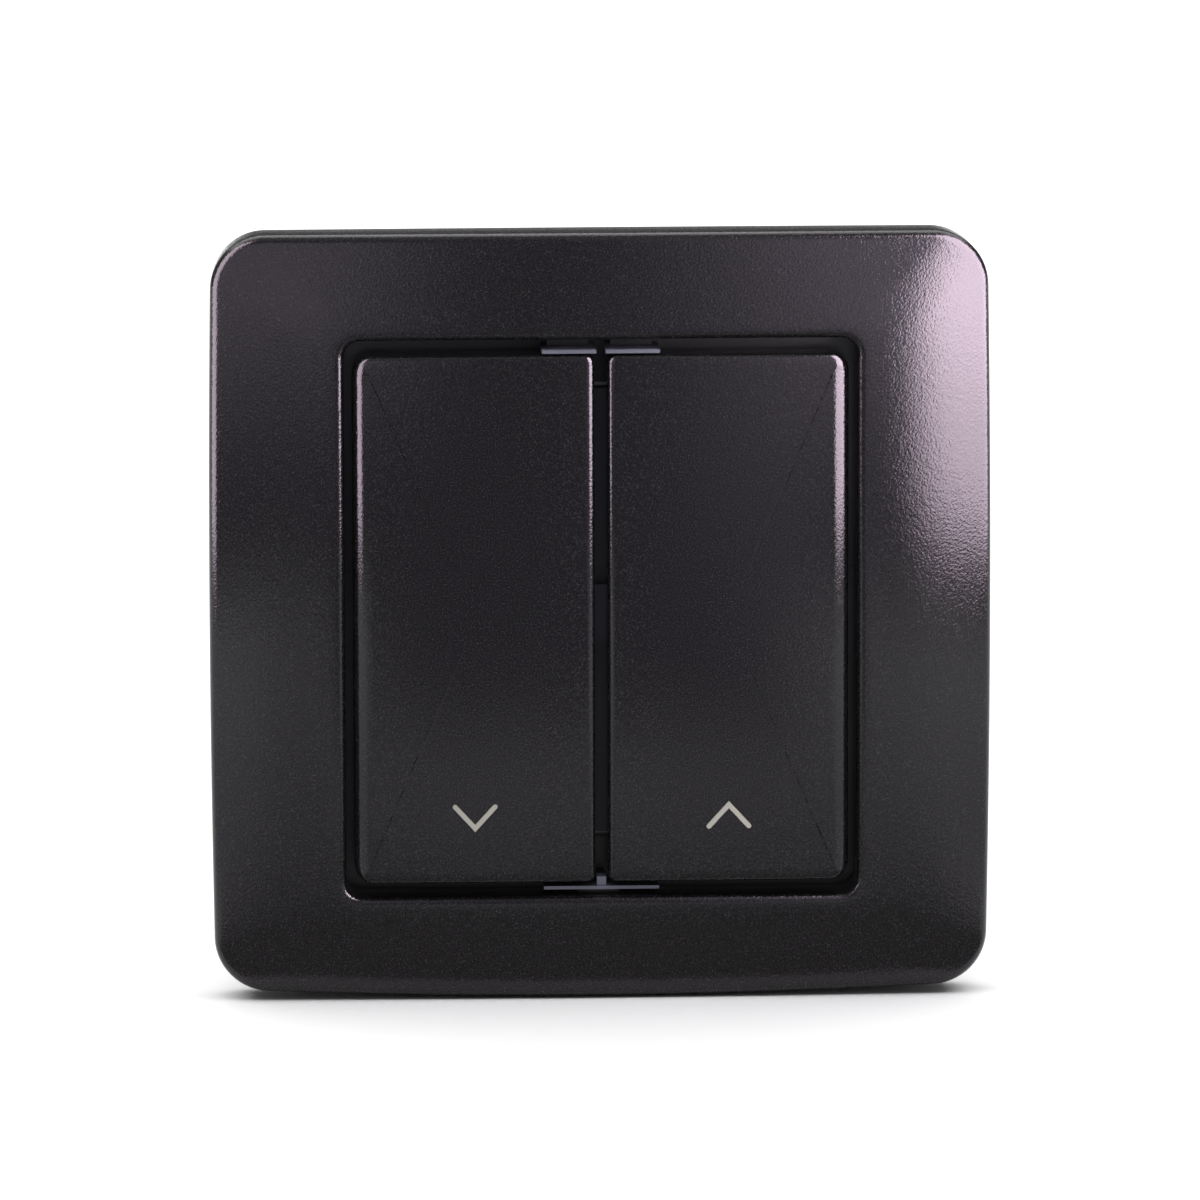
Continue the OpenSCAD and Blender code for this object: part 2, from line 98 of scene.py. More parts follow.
def outline(w, h, r, bows, nc=14, ns=24):
    """Closed outline of a rectangle with round corners and bowed sides (top, left, bottom, right), as points with outward directions."""
    top, left, bottom, right = bows
    cx = (w / 2 - right - r, -(w / 2 - left - r))
    cz = (h / 2 - top - r, -(h / 2 - bottom - r))
    centres = ((cx[0], cz[0]), (cx[1], cz[0]), (cx[1], cz[1]), (cx[0], cz[1]))
    pts = []
    for c in range(4):
        x0, z0 = centres[c]
        x1, z1 = centres[(c + 1) % 4]
        bow, prev = bows[c], bows[c - 1]
        a0 = math.pi / 2 * c
        length = abs(x1 - x0) + abs(z1 - z0)
        lead = math.atan2(4 * bow, length)
        back = math.atan2(4 * prev, (abs(centres[c - 1][0] - x0) + abs(centres[c - 1][1] - z0)))
        for k in range(nc + 1):
            t = a0 + back + (math.pi / 2 - back - lead) * k / nc
            pts.append((x0 + r * math.cos(t), z0 + r * math.sin(t), math.cos(t), math.sin(t)))
        t = a0 + math.pi / 2
        ox, oz = math.cos(t), math.sin(t)
        e = pts[-1]
        t1 = a0 + math.pi / 2 + lead
        f = (x1 + r * math.cos(t1), z1 + r * math.sin(t1))
        for k in range(1, ns + 1):
            s = k / (ns + 1)
            u = 2 * s - 1
            g = bow * (1 - u * u)
            tn = a0 + math.pi / 2 + lead * u
            pts.append((e[0] + (f[0] - e[0]) * s + ox * g, e[1] + (f[1] - e[1]) * s + oz * g, math.cos(tn), math.sin(tn)))
    return pts


def loft(bm, rings, closed=False, mat=None):
    """Quads between successive rings of (x, y, z) in millimetres."""
    vs = [[bm.verts.new((p[0] * MM, p[1] * MM, p[2] * MM)) for p in r] for r in rings]
    n, m = len(rings[0]), len(rings)
    for j in range(m if closed else m - 1):
        a, b = vs[j], vs[(j + 1) % m]
        for i in range(n):
            f = bm.faces.new((a[i], a[(i + 1) % n], b[(i + 1) % n], b[i]))
            if mat is not None:
                f.material_index = mat(j) if callable(mat) else mat
    return vs


def lift(path, y):
    return [(p[0], y, p[1]) for p in path]


def box(bm, lo, hi, mat=0, bevel=0.0):
    """A box in millimetres with rounded edges."""
    g = bmesh.ops.create_cube(bm, size=1.0)
    vs = g["verts"]
    for v in vs:
        v.co = Vector(((lo[0] + hi[0]) / 2 + v.co.x * (hi[0] - lo[0]), (lo[1] + hi[1]) / 2 + v.co.y * (hi[1] - lo[1]), (lo[2] + hi[2]) / 2 + v.co.z * (hi[2] - lo[2]))) * MM
    faces = {f for v in vs for f in v.link_faces}
    for f in faces:
        f.material_index = mat
    if bevel:
        edges = list({e for v in vs for e in v.link_edges})
        bmesh.ops.bevel(bm, geom=edges, offset=bevel * MM, segments=2, profile=0.6, affect="EDGES")


# ---------------------------------------------------------------- materials
def new_mat(name):
    m = bpy.data.materials.new(name)
    m.use_nodes = True
    nt = m.node_tree
    nt.nodes.clear()
    out = nt.nodes.new("ShaderNodeOutputMaterial")
    bsdf = nt.nodes.new("ShaderNodeBsdfPrincipled")
    nt.links.new(bsdf.outputs["BSDF"], out.inputs["Surface"])
    return m, nt, bsdf


def node(nt, kind, **props):
    n = nt.nodes.new(kind)
    for k, v in props.items():
        setattr(n, k, v)
    return n


def noise_tex(nt, vec, scale, detail=2.0, rough=0.5):
    n = node(nt, "ShaderNodeTexNoise")
    n.inputs["Scale"].default_value = scale
    n.inputs["Detail"].default_value = detail
    n.inputs["Roughness"].default_value = rough
    nt.links.new(vec, n.inputs["Vector"])
    return n.outputs["Fac"]


def ramp(nt, fac, stops):
    r = node(nt, "ShaderNodeValToRGB")
    el = r.color_ramp.elements
    while len(el) < len(stops):
        el.new(0.5)
    for e, (p, c) in zip(el, stops):
        e.position = p
        e.color = (*c, 1.0) if len(c) == 3 else c
    nt.links.new(fac, r.inputs["Fac"])
    return r.outputs["Color"]


def maprange(nt, val, a, b, c, d):
    m = node(nt, "ShaderNodeMapRange")
    for k, v in zip(("From Min", "From Max", "To Min", "To Max"), (a, b, c, d)):
        m.inputs[k].default_value = v
    nt.links.new(val, m.inputs["Value"])
    return m.outputs["Result"]


def bump(nt, height, strength, dist, normal=None):
    b = node(nt, "ShaderNodeBump")
    b.inputs["Strength"].default_value = strength
    b.inputs["Distance"].default_value = dist
    nt.links.new(height, b.inputs["Height"])
    if normal is not None:
        nt.links.new(normal, b.inputs["Normal"])
    return b.outputs["Normal"]


def lacquer(name, base, tint, grain=1.0):
    """Dark metallic lacquer over a fine leathery grain, with flakes, slow waves and slightly rubbed edges."""
    m, nt, p = new_mat(name)
    co = node(nt, "ShaderNodeTexCoord").outputs["Object"]
    mp = node(nt, "ShaderNodeMapping", vector_type="TEXTURE")
    mp.inputs["Rotation"].default_value = (0.0, math.radians(32), 0.0)
    mp.inputs["Scale"].default_value = (1.0, 1.0, 1.4)
    nt.links.new(co, mp.inputs["Vector"])
    leather = noise_tex(nt, mp.outputs["Vector"], 4500.0, 2.0, 0.6)
    fleck = noise_tex(nt, co, 5600.0, 1.0, 0.5)
    wave = noise_tex(nt, co, 330.0, 2.0, 0.5)
    cloud = noise_tex(nt, co, 45.0, 3.0, 0.55)
    dark = tuple(c * 0.55 for c in base)
    lite = tuple(c * 1.7 for c in base)
    spark = tuple(c * 4.5 for c in base)
    col = ramp(nt, fleck, [(0.3, dark), (0.5, base), (0.64, lite), (0.76, spark)])
    geo = node(nt, "ShaderNodeNewGeometry")
    worn = maprange(nt, geo.outputs["Pointiness"], 0.53, 0.62, 0.0, 0.35)
    mixed = node(nt, "ShaderNodeMix", data_type="RGBA")
    nt.links.new(worn, mixed.inputs["Factor"])
    nt.links.new(col, mixed.inputs["A"])
    mixed.inputs["B"].default_value = (base[0] * 2.4, base[1] * 2.3, base[2] * 2.4, 1.0)
    nt.links.new(mixed.outputs["Result"], p.inputs["Base Color"])
    r = maprange(nt, cloud, 0.3, 0.7, 0.08, 0.12)
    nt.links.new(r, p.inputs["Roughness"])
    p.inputs["IOR"].default_value = 1.42
    p.inputs["Specular Tint"].default_value = (*tint, 1.0)
    n0 = bump(nt, wave, 0.3 * grain, 0.00005)
    n1 = bump(nt, leather, min(1.0, grain), 0.000032, n0)
    n2 = bump(nt, fleck, 0.5 * grain, 0.00001, n1)
    nt.links.new(n2, p.inputs["Normal"])
    return m


def plastic(name, base, rough=0.42, grain=0.15, scale=1600.0, spread=0.12):
    m, nt, p = new_mat(name)
    co = node(nt, "ShaderNodeTexCoord").outputs["Object"]
    fine = noise_tex(nt, co, scale, 3.0, 0.6)
    cloud = noise_tex(nt, co, 90.0, 3.0, 0.5)
    col = ramp(nt, cloud, [(0.3, tuple(c * (1 - spread) for c in base)), (0.7, tuple(min(1.0, c * (1 + spread)) for c in base))])
    nt.links.new(col, p.inputs["Base Color"])
    nt.links.new(maprange(nt, cloud, 0.3, 0.7, rough - 0.05, rough + 0.06), p.inputs["Roughness"])
    nt.links.new(bump(nt, fine, grain, 0.00005), p.inputs["Normal"])
    p.inputs["IOR"].default_value = 1.48
    return m


def metal(name, base, rough=0.3, brushed=None, spots=0.15, stain=None):
    """Rolled, plated or stamped metal: fine rolling lines, plating cloud and small stains."""
    m, nt, p = new_mat(name)
    co = node(nt, "ShaderNodeTexCoord").outputs["Object"]
    vec = co
    if brushed:
        mp = node(nt, "ShaderNodeMapping")
        mp.inputs["Scale"].default_value = brushed
        nt.links.new(co, mp.inputs["Vector"])
        vec = mp.outputs["Vector"]
    lines = noise_tex(nt, vec, 900.0, 4.0, 0.6)
    cloud = noise_tex(nt, co, 140.0, 4.0, 0.6)
    col = ramp(nt, cloud, [(0.28, tuple(c * (1 - spots) for c in (stain or base))), (0.55, base), (0.8, tuple(min(1, c * (1 + spots * 0.5)) for c in base))])
    nt.links.new(col, p.inputs["Base Color"])
    p.inputs["Metallic"].default_value = 1.0
    nt.links.new(maprange(nt, lines, 0.25, 0.75, rough - 0.07, rough + 0.1), p.inputs["Roughness"])
    nt.links.new(bump(nt, lines, 0.12, 0.00002), p.inputs["Normal"])
    return m


LILAC = (1.0, 0.92, 0.985)
mat_frame = lacquer("anthracite_lacquer", (0.0085, 0.0082, 0.0086), LILAC, 1.0)
mat_key = lacquer("anthracite_key_lacquer", (0.0085, 0.0082, 0.0086), LILAC, 0.85)
mat_inside = plastic("anthracite_moulding", (0.005, 0.005, 0.0055), 0.6, 0.1)
mat_inside.node_tree.nodes["Principled BSDF"].inputs["Specular IOR Level"].default_value = 0.2
mat_mark = plastic("chevron_fill", (0.42, 0.40, 0.35), 0.55, 0.3, 5000.0, 0.1)
mat_edge = plastic("chevron_edge", (0.02, 0.02, 0.02), 0.5, 0.2, 5000.0, 0.1)
mat_blue = plastic("blue_grey_moulding", (0.04, 0.042, 0.058), 0.45, 0.12)
mat_ring = plastic("blue_grey_ring", (0.13, 0.135, 0.18), 0.38, 0.12)


def paint_shade_behind(m, y_mm, dark):
    """The moulding is blue-grey at its visible tabs; behind y_mm its colour is a painted shade, near black, for the
    deep gap round the keys.
    """
    nt = m.node_tree
    p = next(n for n in nt.nodes if n.type == "BSDF_PRINCIPLED")
    old = p.inputs["Base Color"].links[0].from_socket
    co = node(nt, "ShaderNodeTexCoord").outputs["Object"]
    sep = node(nt, "ShaderNodeSeparateXYZ")
    nt.links.new(co, sep.inputs[0])
    f = maprange(nt, sep.outputs["Y"], (y_mm - 0.3) * MM, (y_mm + 0.3) * MM, 0.0, 1.0)
    mx = node(nt, "ShaderNodeMix", data_type="RGBA")
    nt.links.new(f, mx.inputs["Factor"])
    nt.links.new(old, mx.inputs["A"])
    mx.inputs["B"].default_value = (*dark, 1.0)
    nt.links.new(mx.outputs["Result"], p.inputs["Base Color"])


# painted shade: the ring's colour goes near black behind y = -6.4 mm, deep in the gap round the keys
paint_shade_behind(mat_ring, -6.4, (0.004, 0.004, 0.0045))
mat_ivory = plastic("ivory_moulding", (0.62, 0.6, 0.53), 0.4, 0.1)
mat_black = plastic("black_moulding", (0.018, 0.018, 0.019), 0.4, 0.3, 1400.0)
mat_zinc = metal("zinc_plate", (0.46, 0.47, 0.49), 0.34, (1.0, 1.0, 12.0), 0.25)
mat_spring = metal("spring_wire", (0.6, 0.6, 0.62), 0.25)
mat_rivet = metal("rivet_steel", (0.66, 0.66, 0.67), 0.3)
mat_clamp = metal("clamp_plate", (0.56, 0.57, 0.58), 0.33, (8.0, 1.0, 1.0))
mat_screw = metal("passivated_screw", (0.52, 0.46, 0.29), 0.3, None, 0.25, (0.46, 0.38, 0.32))
mat_bronze = metal("bronze_strip", (0.78, 0.5, 0.3), 0.28, (1.0, 1.0, 10.0))
mat_brass = metal("brass_strip", (0.8, 0.62, 0.32), 0.28, (1.0, 1.0, 10.0))
mat_silver = metal("contact_silver", (0.9, 0.9, 0.88), 0.22)

# ---------------------------------------------------------------- cover frame
FW, FH, FD = 84.0, 83.0, 9.6
OW, OH = 55.0, 60.4
EDGE_R = 1.2
RIM_TILT = math.radians(13.2)


def build_cover():
    out = outline(FW, FH, 6.0, (0.04, 0.3, 0.75, 0.3))
    inn = outline(OW, OH, 1.8, (0, 0, 0, 0))
    idx = range(len(out))
    shell = 2.1

    def o(i, d, y):
        x, z, nx, nz = out[i]
        return (x - nx * d, y, z - nz * d)

    def n(i, d, y):
        x, z, nx, nz = inn[i]
        return (x + nx * d, y, z + nz * d)

    s_t = EDGE_R * (1 - math.sin(RIM_TILT))
    span, fall = [], []
    for i in idx:
        p, q = o(i, s_t, 0), n(i, 0.9, 0)
        length = math.hypot(q[0] - p[0], q[2] - p[2])
        span.append(length)
        fall.append(math.tan(RIM_TILT) * length / 2)

    def height(i, t):
        return FD - fall[i] * (1 - t) ** 2

    def face(i, t):
        p, q = o(i, s_t, 0), n(i, 0.9, 0)
        return (p[0] + (q[0] - p[0]) * t, -height(i, t), p[2] + (q[2] - p[2]) * t)

    rings = [[o(i, 0.6, -0.3) for i in idx], [o(i, 0.36, -0.42) for i in idx], [o(i, 0.26, -0.7) for i in idx], [o(i, 0.22, -1.0) for i in idx], [o(i, 0.1, -4.0) for i in idx]]
    for k in range(12):
        a = (math.pi / 2 - RIM_TILT) * k / 11
        rings.append([o(i, EDGE_R * (1 - math.cos(a)), -(height(i, 0) - EDGE_R * math.cos(RIM_TILT) + EDGE_R * math.sin(a))) for i in idx])
    for k in range(1, 18):
        rings.append([face(i, k / 18) for i in idx])
    for k in range(9):
        a = math.pi / 2 * (1 - k / 8)
        rings.append([n(i, 0.9 * (1 - math.cos(a)), -FD + 0.9 * (1 - math.sin(a))) for i in idx])
    outer = len(rings)
    rings += [[n(i, 0, -6.0) for i in idx], [n(i, 0.02, -3.62) for i in idx], [n(i, 0.12, -3.5) for i in idx], [n(i, 1.28, -3.5) for i in idx], [n(i, 1.4, -3.62) for i in idx],
              [n(i, 1.4, -FD + shell + 0.3) for i in idx], [n(i, 1.7, -FD + shell) for i in idx],
              [o(i, 5.4, -height(i, 0.35) + shell) for i in idx], [o(i, shell + 0.6, -height(i, 0.1) + shell + 0.3) for i in idx],
              [o(i, shell, -height(i, 0.1) + shell + 0.9) for i in idx], [o(i, shell, -0.42) for i in idx], [o(i, shell - 0.12, -0.3) for i in idx]]
    bm = bmesh.new()
    loft(bm, rings, closed=True, mat=lambda j: 1 if j >= outer + 1 and j < len(rings) - 1 else 0)
    # stiffening ribs inside, from the rim to the inner wall
    for s in (-1, 1):
        for t in (-22.0, -8.0, 8.0, 22.0):
            x0, x1 = sorted((s * 33.0, s * 39.6))
            box(bm, (x0, -6.9, t - 0.45), (x1, -1.6, t + 0.45), 1, 0.12)
            z0, z1 = sorted((s * 35.0, s * 39.1))
            box(bm, (t - 0.45, -6.9, z0), (t + 0.45, -1.6, z1), 1, 0.12)
    return link("cover_frame_shell", bm, [mat_frame, mat_inside], "base", 40.0, ["cover_frame"])


build_cover()

# ---------------------------------------------------------------- rocker keys
KW, KH, KGAP, KFACE, KBACK, KWALL = 25.9, 57.2, 1.4, 10.2, -5.6, 1.3
KX = KGAP / 2 + KW / 2


def key_path(side, nc=8, nsx=14, nsz=26):
    """Outline points with outward normals; the corners by the outer edge are rounder."""
    pts = []
    for c in range(4):
        sx, sz = (1 if c in (0, 3) else -1), (1 if c < 2 else -1)
        nx, nz = (1 if c in (2, 3) else -1), (1 if c in (0, 3) else -1)
        q = 2.0 if sx == side else 0.95
        q2 = 2.0 if nx == side else 0.95
        hw, hh = KW / 2, KH / 2
        cx, cz, a0 = sx * (hw - q), sz * (hh - q), math.pi / 2 * c
        for k in range(nc + 1):
            t = a0 + math.pi / 2 * k / nc
            pts.append((cx + q * math.cos(t), cz + q * math.sin(t), math.cos(t), math.sin(t)))
        t = a0 + math.pi / 2
        ox, oz = math.cos(t), math.sin(t)
        e = (cx + q * ox, cz + q * oz)
        f = (nx * (hw - q2) + q2 * ox, nz * (hh - q2) + q2 * oz)
        ns = nsx if c in (0, 2) else nsz
        for k in range(1, ns + 1):
            s = k / (ns + 1)
            pts.append((e[0] + (f[0] - e[0]) * s, e[1] + (f[1] - e[1]) * s, ox, oz))
    return pts


def edge_radius(side, nx, nz):
    r_side = 1.85 if nx * side > 0 else 0.85
    return r_side * nx * nx + 0.62 * nz * nz


def chevron_bars(up, cx, cz, w, h, line, y0, y1):
    """One closed prism in the shape of a chevron with round ends, from y0 to y1. w and h are between the stroke's middles."""
    hw, hh, t = w / 2, h / 2, line / 2
    slope = math.atan2(h, hw)
    tip = []
    for k in range(7):
        a = -math.pi / 2 + slope - math.pi * k / 6 + 2 * math.pi
        tip.append((-hw + t * math.cos(a), -hh + t * math.sin(a)))
    tip.append((0.0, hh + t / math.cos(slope)))
    for k in range(7):
        a = math.pi / 2 - slope - math.pi * k / 6
        tip.append((hw + t * math.cos(a), -hh + t * math.sin(a)))
    tip.append((0.0, hh - t / math.cos(slope)))
    bm = bmesh.new()
    a = [bm.verts.new(((cx + p[0]) * MM, y0 * MM, (cz + up * p[1]) * MM)) for p in tip]
    b = [bm.verts.new(((cx + p[0]) * MM, y1 * MM, (cz + up * p[1]) * MM)) for p in tip]
    n = len(tip)
    for i in range(n):
        bm.faces.new((a[i], a[(i + 1) % n], b[(i + 1) % n], b[i]))
    bm.faces.new(a)
    bm.faces.new(list(reversed(b)))
    bmesh.ops.triangulate(bm, faces=[f for f in bm.faces if len(f.verts) > 4])
    bmesh.ops.recalc_face_normals(bm, faces=bm.faces)
    return bm


def build_key(side, up, name, body):
    path = key_path(side)
    gx = side * KX

    def crown(x, z):
        return 0.14 * (x / (KW / 2)) ** 2 + 0.07 * (z / (KH / 2)) ** 2


    def at(inset, y, f=1.0):
        return [((gx + (p[0] - p[2] * inset) * f), y, (p[1] - p[3] * inset) * f) for p in path]

    rings = []
    rmax = [edge_radius(side, p[2], p[3]) for p in path]
    # face, from the middle to the rounded edge
    for f in (0.08, 0.2, 0.34, 0.48, 0.62, 0.74, 0.84, 0.92, 0.975):
        rings.append([(gx + (p[0] - p[2] * r) * f, -KFACE + crown((p[0] - p[2] * r) * f, (p[1] - p[3] * r) * f), (p[1] - p[3] * r) * f) for p, r in zip(path, rmax)])
    for k in range(9):
        a = math.pi / 2 * (1 - k / 8)
        rings.append([(gx + p[0] - p[2] * r * (1 - math.cos(a)), -KFACE + crown(p[0] - p[2] * r, p[1] - p[3] * r) + r * (1 - math.sin(a)), p[1] - p[3] * r * (1 - math.cos(a))) for p, r in zip(path, rmax)])
    rings += [at(0.0, -7.5), at(0.0, KBACK - 0.12), at(0.12, KBACK), at(KWALL - 0.12, KBACK), at(KWALL, KBACK - 0.12), at(KWALL, -KFACE + 1.9), at(KWALL + 0.3, -KFACE + 1.6)]
    for f in (0.7, 0.4, 0.1):
        rings.append([(gx + (p[0] - p[2] * (KWALL + 0.3)) * f, -KFACE + 1.6, (p[1] - p[3] * (KWALL + 0.3)) * f) for p in path])
    bm = bmesh.new()
    n_face = 9 + 9
    vs = loft(bm, rings, mat=lambda j: 0 if j < n_face + 1 else 1)
    bm.faces.new(list(reversed(vs[0]))).material_index = 0
    bm.faces.new(vs[-1]).material_index = 1
    ob = link(name, bm, [mat_key, mat_inside, mat_edge, mat_mark], body, 40.0)
    # the engraved chevron, with a dark bottom edge and a pale line in it
    cz = -KH / 2 + 7.2
    cut_bm = chevron_bars(up, gx, cz, 4.3, 2.35, 0.72, -12.0, -KFACE + 0.26)
    cut_me = bpy.data.meshes.new(name + "_cut")
    cut_bm.to_mesh(cut_me)
    cut_bm.free()
    for m in (mat_key, mat_inside, mat_edge, mat_mark):
        cut_me.materials.append(m)
    for p in cut_me.polygons:
        p.material_index = 2
    cutter = bpy.data.objects.new(name + "_cut", cut_me)
    scene.collection.objects.link(cutter)
    mod = ob.modifiers.new("engrave", "BOOLEAN")
    mod.operation, mod.solver, mod.object = "DIFFERENCE", "EXACT", cutter
    dg = bpy.context.evaluated_depsgraph_get()
    new = bpy.data.meshes.new_from_object(ob.evaluated_get(dg))
    ob.modifiers.clear()
    old = ob.data
    ob.data = new
    bpy.data.meshes.remove(old)
    bpy.data.objects.remove(cutter)
    for p in new.polygons:
        p.use_smooth = True
    new.set_sharp_from_angle(angle=math.radians(40.0))
    return ob


def build_key_legs(side, name, body):
    bm = bmesh.new()
    gx = side * KX
    for sx in (-1, 1):
        for sz in (-1, 1):
            box(bm, (gx + sx * 6 - 2, -8.75, sz * 8.6 - 0.6), (gx + sx * 6 + 2, -4.8, sz * 8.6 + 0.6), 0, 0.15)
    # ribs under the face
    for z in (-20.0, 0.0, 20.0):
        box(bm, (gx - 10.5, -8.75, z - 0.4), (gx + 10.5, -7.6, z + 0.4), 0, 0.12)
    return link(name, bm, [mat_inside], body)


def build_mark(side, up, name, body):
    cz = -KH / 2 + 7.2
    bm = chevron_bars(up, side * KX, cz, 4.3, 2.35, 0.54, -KFACE + 0.1, -KFACE + 0.3)
    return link(name, bm, [mat_mark], body)


for side, up, s in ((-1, -1, "left"), (1, 1, "right")):
    k = build_key(side, up, s + "_key_shell", s + "_rocker")
    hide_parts(s + "_key")
    build_key_legs(side, s + "_key_legs", s + "_rocker")
    build_mark(side, up, s + "_key_chevron", s + "_rocker")


# ---------------------------------------------------------------- springs
def coil(name, cx, cz, y0, y1, r, w, turns, body, repl):
    per, sides = 40, 12
    n = int(turns * per)
    pts = []
    for i in range(n + 1):
        t = i / n
        e = 0.75 / turns
        base = 0.35 / (1 - 1.3 * e)
        if t < e:
            h = t * base
        elif t > 1 - e:
            h = 1 - (1 - t) * base
        else:
            h = e * base + (t - e) * (1 - 2 * e * base) / (1 - 2 * e)
        q = 2 * math.pi * turns * t
        pts.append((cx + r * math.cos(q), y0 + w + (y1 - y0 - 2 * w) * h, cz + r * math.sin(q), q))
    bm = bmesh.new()
    rings = []
    for x, y, z, q in pts:
        rings.append([(x + w * math.cos(c) * math.cos(q), y + w * math.sin(c), z + w * math.cos(c) * math.sin(q)) for c in (2 * math.pi * k / sides for k in range(sides))])
    vs = loft(bm, rings)
    bm.faces.new(list(reversed(vs[0])))
    bm.faces.new(vs[-1])
    ob = link(name, bm, [mat_spring], body, 60.0, [repl])
    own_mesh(ob)
    return ob


for side, s in ((-1, "left"), (1, "right")):
    gx = side * 9.45
    coil(s + "_return_coil", gx, -10.0, -4.66, 1.38, 1.7, 0.25, 5, "base", s + "_return_spring")
    coil(s + "_plunger_coil", gx, -0.4, -4.38, -0.64, 1.1, 0.2, 4, s + "_rocker", s + "_plunger_spring")

# ---------------------------------------------------------------- CAD pieces keep their shape and get finishes
FINISH = {
    "carrier_ring": mat_ring, "mechanism_cover": mat_blue, "left_cradle": mat_ivory, "right_cradle": mat_ivory,
    "left_plunger": mat_ivory, "right_plunger": mat_ivory, "cover_rivets": mat_rivet, "support_strap": mat_zinc,
    "housing": mat_black, "left_contact_bridge": mat_bronze, "right_contact_bridge": mat_bronze,
    "left_moving_rivet": mat_silver, "right_moving_rivet": mat_silver, "fixed_rivets": mat_silver,
    "common_contact": mat_brass, "left_fixed_contact": mat_brass, "right_fixed_contact": mat_brass,
    "terminal_clamps": mat_clamp, "terminal_screws": mat_screw, "left_claw": mat_zinc, "right_claw": mat_zinc,
    "left_claw_screw": mat_screw, "right_claw_screw": mat_screw,
}
SOFTEN = {"carrier_ring": 0.12, "mechanism_cover": 0.15, "housing": 0.25, "support_strap": 0.15, "left_claw": 0.15, "right_claw": 0.15}
for n, m in FINISH.items():
    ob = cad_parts[n]
    if not ob.material_slots:
        ob.data.materials.append(m)
    for sl in ob.material_slots:
        sl.material = m
    if n in SOFTEN:
        b = ob.modifiers.new("edges", "BEVEL")
        b.width, b.segments, b.limit_method, b.angle_limit = SOFTEN[n] * MM, 2, "ANGLE", math.radians(50)
        b.use_clamp_overlap = True
        b.harden_normals = True

# ---------------------------------------------------------------- floor and light
FLOOR_Z = cad_lo[2] - 0.0002


def build_floor():
    bm = bmesh.new()
    n = 24
    prof = [(-2.6 + 5.2 * i / n) for i in range(n + 1)]
    rows = [[bm.verts.new((x, y, FLOOR_Z)) for x in prof] for y in prof]
    for j in range(n):
        for i in range(n):
            bm.faces.new((rows[j][i], rows[j][i + 1], rows[j + 1][i + 1], rows[j + 1][i]))
    me = bpy.data.meshes.new("floor")
    bm.to_mesh(me)
    bm.free()
    m, nt, p = new_mat("floor_paper")
    co = node(nt, "ShaderNodeTexCoord").outputs["Object"]
    c = noise_tex(nt, co, 3.0, 2.0, 0.5)
    nt.links.new(ramp(nt, c, [(0.3, (0.86, 0.86, 0.86)), (0.7, (0.88, 0.88, 0.88))]), p.inputs["Base Color"])
    p.inputs["Roughness"].default_value = 0.9
    p.inputs["Specular IOR Level"].default_value = 0.1
    me.materials.append(m)
    ob = bpy.data.objects.new("floor", me)
    scene.collection.objects.link(ob)


build_floor()


def area(name, size_x, size_y, loc, target, power, color=(1, 1, 1), spread=180.0):
    d = bpy.data.lights.new(name, "AREA")
    d.shape, d.size, d.size_y = "RECTANGLE", size_x, size_y
    d.energy, d.color = power, color
    d.spread = math.radians(spread)
    o = bpy.data.objects.new(name, d)
    scene.collection.objects.link(o)
    o.location = loc
    o.rotation_euler = (Vector(target) - Vector(loc)).to_track_quat("-Z", "Y").to_euler()
    o.visible_camera = False
    return o


# A soft overhead light for the floor and the diffuse shading.
area("overhead", 3.4, 3.4, (0.0, 0.25, 1.7), (0.0, 0.1, 0.0), 92.0)

# Studio cards and soft boxes, which light only the gloss: low white cards, a wash from the right and a soft box on each side.
# Each is: left and right end, width of that soft edge, bottom and top, width of that soft edge, strength, tint.
FAR = 400.0
ROOM, ROOM_TINT = 0.29, (0.96, 0.93, 1.13)
WHITE, WARM, COOL = (0.985, 1.05, 0.985), (1.04, 0.91, 1.02), (0.98, 0.92, 1.06)
BOXES = (
    (-26.5, 26.5, 3, -FAR, -12.5, 5, 0.76, WHITE),
    (-FAR, -26.5, 3, -FAR, 4, 7, 0.56, WHITE),
    (26.5, FAR, 3, -FAR, 2, 6, 0.85, WHITE),
    (-FAR, -56, 26, -FAR, 4, 7, 0.5, WHITE),
    (52, FAR, 20, -FAR, 2, 6, 0.35, WHITE),
    (14, 38, 28, 12, FAR, 60, 0.92, COOL),
    (-FAR, -22, 14, 28, 100, 30, 1.0, COOL),
    (30, FAR, 16, 28, 100, 30, 1.5, COOL),
    (-FAR, -86, 5, 9.5, FAR, 5, 10.0, WARM),
    (49, FAR, 8, 10.5, FAR, 3, 1.8, WARM),
    (55.5, FAR, 5, 10.5, FAR, 3, 13.0, WARM),
    (55, FAR, 6, 30, FAR, 14, 7.0, WARM),
)
CARD_Y, CARD_TURN, CARD_GAP = -75.0, 53.0, 66.0
DROP = CARD_GAP * math.tan(ELEV)


def smooth(a, b, v):
    t = min(1.0, max(0.0, (v - a) / (b - a)))
    return t * t * (3 - 2 * t)


def between(a, b, w, v):
    return smooth(a - w / 2, a + w / 2, v) * (1 - smooth(b - w / 2, b + w / 2, v))


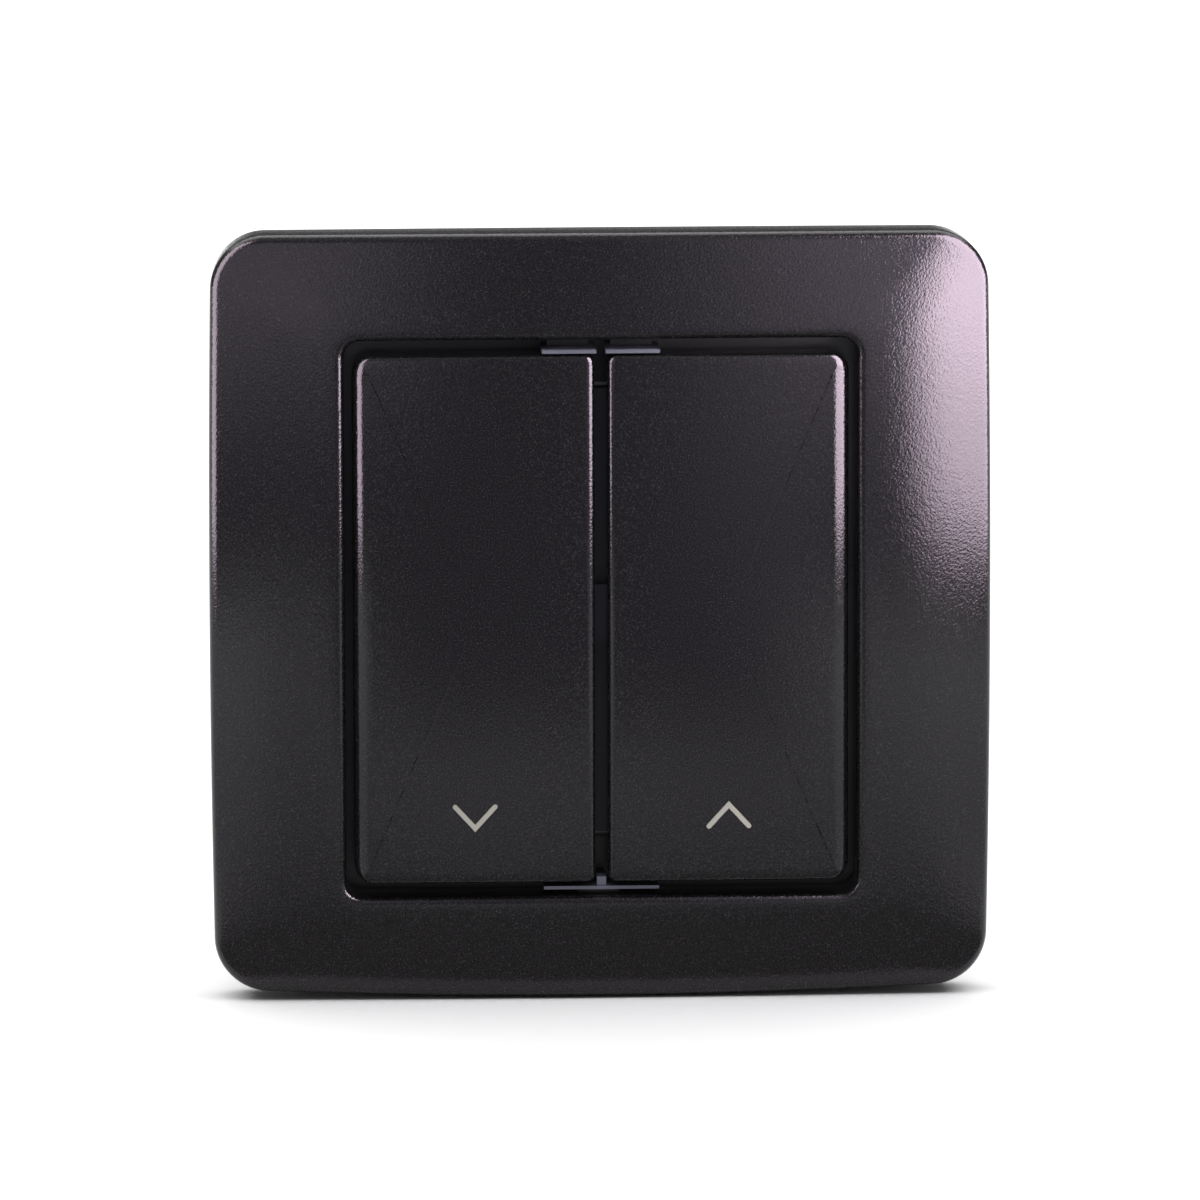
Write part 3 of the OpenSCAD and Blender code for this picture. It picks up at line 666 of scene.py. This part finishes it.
def build_cards():
    qs = [-132 + 264 * i / 176 for i in range(177)]
    hs = [-72 + 1.5 * i for i in range(88)] + [64 + 8 * i for i in range(14)]
    bm = bmesh.new()
    col = bm.loops.layers.float_color.new("glow")
    grid = []
    for h in hs:
        row = []
        for q in qs:
            if abs(q) <= CARD_TURN:
                x, y = q, CARD_Y
            else:
                u = (abs(q) - CARD_TURN) / 79.2
                x, y = math.copysign(CARD_TURN + 57 * u, q), CARD_Y + 68 * u
            row.append(bm.verts.new((x * MM, y * MM, h * MM)))
        grid.append(row)

    def glow(q, h):
        z = h + DROP
        c = [ROOM * t for t in ROOM_TINT]
        for x0, x1, wx, z0, z1, wz, e, tint in BOXES:
            # the low cards get darker towards the floor
            f = 0.5 + 0.5 * smooth(-30, 6, z) if z0 < -100 else 1.0
            k = e * f * between(x0, x1, wx, q) * between(z0, z1, wz, z)
            c = [v + k * t for v, t in zip(c, tint)]
        return c + [1.0]

    for j in range(len(hs) - 1):
        for i in range(len(qs) - 1):
            f = bm.faces.new((grid[j][i], grid[j][i + 1], grid[j + 1][i + 1], grid[j + 1][i]))
            for lp, (qq, hh) in zip(f.loops, ((qs[i], hs[j]), (qs[i + 1], hs[j]), (qs[i + 1], hs[j + 1]), (qs[i], hs[j + 1]))):
                lp[col] = glow(qq, hh)
    def flap(corners, value):
        f = bm.faces.new([bm.verts.new(tuple(v * MM for v in c)) for c in corners])
        for lp in f.loops:
            lp[col] = (value, value, value, 1.0)

    # Three dim glowing flaps, seen only by the gloss, paint darker reflections. One lies on the floor in front as the
    # floor in the object's shadow, one hangs over the front and one stands behind the top.
    low = cad_lo[2] / MM + 0.3
    flap(((-60, CARD_Y, low), (60, CARD_Y, low), (60, -11, low), (-60, -11, low)), 0.3)
    flap(((-110, CARD_Y, 168), (110, CARD_Y, 168), (110, 12, 168), (-110, 12, 168)), 0.5)
    flap(((-64, 100, 46), (64, 100, 46), (64, 100, 72), (-64, 100, 72)), 0.03)
    me = bpy.data.meshes.new("reflector_cards")
    bm.to_mesh(me)
    bm.free()
    m = bpy.data.materials.new("card_glow")
    m.use_nodes = True
    nt = m.node_tree
    nt.nodes.clear()
    out = nt.nodes.new("ShaderNodeOutputMaterial")
    em = nt.nodes.new("ShaderNodeEmission")
    at = nt.nodes.new("ShaderNodeAttribute")
    at.attribute_name = "glow"
    nt.links.new(at.outputs["Color"], em.inputs["Color"])
    nt.links.new(em.outputs["Emission"], out.inputs["Surface"])
    me.materials.append(m)
    ob = bpy.data.objects.new("reflector_cards", me)
    scene.collection.objects.link(ob)
    ob.visible_camera = False
    ob.visible_diffuse = False
    ob.visible_shadow = False
    ob.visible_transmission = False


build_cards()

world = bpy.data.worlds.new("studio")
scene.world = world
world.use_nodes = True
wn = world.node_tree
wn.nodes.clear()
wo = wn.nodes.new("ShaderNodeOutputWorld")
bg_cam, bg_all = wn.nodes.new("ShaderNodeBackground"), wn.nodes.new("ShaderNodeBackground")
bg_cam.inputs["Color"].default_value = (1, 1, 1, 1)
bg_cam.inputs["Strength"].default_value = 1.0
bg_all.inputs["Color"].default_value = (0.97, 0.98, 1, 1)
bg_all.inputs["Strength"].default_value = 0.25
mix, lp = wn.nodes.new("ShaderNodeMixShader"), wn.nodes.new("ShaderNodeLightPath")
wn.links.new(lp.outputs["Is Camera Ray"], mix.inputs["Fac"])
wn.links.new(bg_all.outputs["Background"], mix.inputs[1])
wn.links.new(bg_cam.outputs["Background"], mix.inputs[2])
wn.links.new(mix.outputs["Shader"], wo.inputs["Surface"])

scene.view_settings.view_transform = "Standard"
scene.view_settings.look = "None"
scene.view_settings.exposure = 0.0
scene.view_settings.gamma = 1.0
